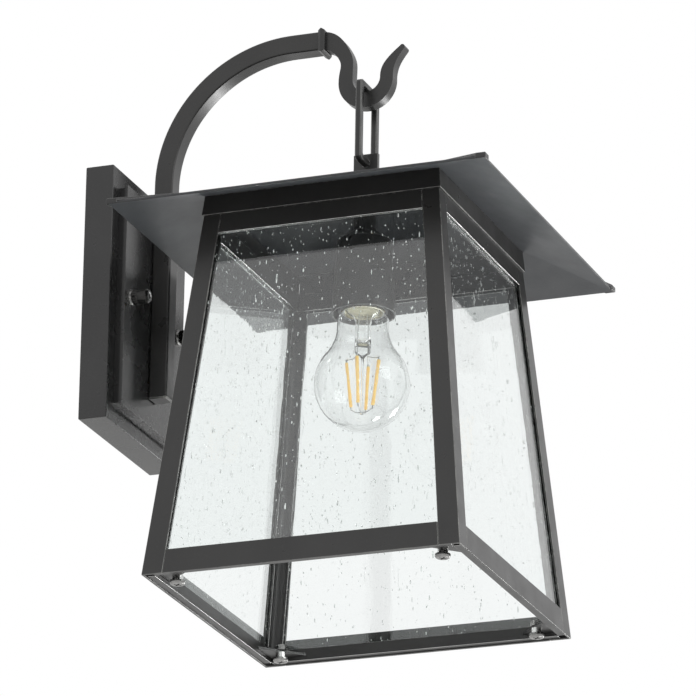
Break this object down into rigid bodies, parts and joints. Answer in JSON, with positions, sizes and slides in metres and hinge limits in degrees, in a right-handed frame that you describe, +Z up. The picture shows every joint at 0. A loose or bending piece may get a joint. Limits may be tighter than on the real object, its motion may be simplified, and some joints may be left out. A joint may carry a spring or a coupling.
{
  "type": "outdoor wall lantern",
  "caption": "Outdoor wall lantern: a tapered square glazed lantern with a hipped roof hangs by a ring from the hook of an arched wall bracket; open bottom, screw-in bulb.",
  "frame": {"origin": "centre of the bracket's back face, on the wall", "axes": "+Z up, -Y away from the wall, +X to the right of a viewer who stands in front and faces the wall"},
  "size_m": [0.2484, 0.2917, 0.39],
  "materials": {
    "black_paint": "satin powder coat",
    "seeded_glass": "clear seeded glass",
    "bulb_glass": "clear",
    "zinc_steel": "zinc plated",
    "nickel": "nickel plated",
    "brass": "satin",
    "bulb_base": "rolled shell",
    "lampholder": "moulded",
    "black_glass": "glossy",
    "filament": "silicone coated",
    "gasket_rubber": "foam",
    "ground_green": "satin",
    "cap_metal": "satin with worn rims"
  },
  "bodies": {
    "bracket": {"backplate_tray": "black_paint", "backplate_panel": "black_paint", "wall_gasket": "gasket_rubber", "mounting_strap": "zinc_steel", "mounting_studs": "zinc_steel", "stud_lock_nuts": "zinc_steel", "cap_nuts": "cap_metal", "cap_washers": "cap_metal", "ground_screw": "ground_green", "arm_tube": "black_paint", "arm_foot_cap": "black_paint", "arm_anchor_block": "zinc_steel", "arm_screws": "zinc_steel", "arm_collar": "black_paint", "hook": "black_paint"},
    "ring": {"hanging_ring": "black_paint"},
    "lantern": {"bottom_rail_back": "black_paint", "bottom_rail_front": "black_paint", "bottom_rail_left": "black_paint", "bottom_rail_right": "black_paint", "corner_glass_angles": "black_paint", "corner_gussets": "black_paint", "corner_nuts": "nickel", "corner_screws": "nickel", "corner_spacers": "nickel", "glass_back": "seeded_glass", "glass_front": "seeded_glass", "glass_left": "seeded_glass", "glass_right": "seeded_glass", "lower_glass_channels": "black_paint", "neck_washer": "zinc_steel", "post_back_left": "black_paint", "post_back_right": "black_paint", "post_front_left": "black_paint", "post_front_right": "black_paint", "roof_hip_caps": "black_paint", "roof_sheet": "black_paint", "roof_skirt": "black_paint", "socket_body": "lampholder", "socket_contact": "brass", "socket_cup": "black_paint", "socket_shell": "brass", "stem_tab": "black_paint", "threaded_nipple": "zinc_steel", "top_rail_back": "black_paint", "top_rail_front": "black_paint", "top_rail_left": "black_paint", "top_rail_right": "black_paint", "upper_glass_channels": "black_paint"},
    "bulb_core": {"bulb_insulator": "black_glass", "bulb_contact": "bulb_base"},
    "bulb": {"bulb_glass": "bulb_glass", "bulb_base_shell": "bulb_base", "bulb_stem": "bulb_glass", "bulb_filaments": "filament", "bulb_support_wires": "zinc_steel"}
  },
  "joints": [
    {"name": "ring_swing", "type": "hinge", "parent": "bracket", "child": "ring", "pos_m": [0, -0.1675, 0.1378], "axis": [-1, 0, 0], "range_deg": [-2, 30]},
    {"name": "lantern_swing", "type": "hinge", "parent": "ring", "child": "lantern", "pos_m": [0, -0.1675, 0.0872], "axis": [-1, 0, 0], "range_deg": [-2, 25]},
    {"name": "bulb_travel", "type": "slide", "parent": "lantern", "child": "bulb_core", "axis": [0, 0, -1], "range_m": [0, 0.0255]},
    {"name": "bulb_turn", "type": "hinge", "parent": "bulb_core", "child": "bulb", "pos_m": [0, -0.1675, 0], "axis": [0, 0, -1], "range_deg": [0, 2520]}
  ],
  "couplings": [
    {"joint": "bulb_travel", "follows": "bulb_turn", "m_per_rad": 0.00057752}
  ]
}
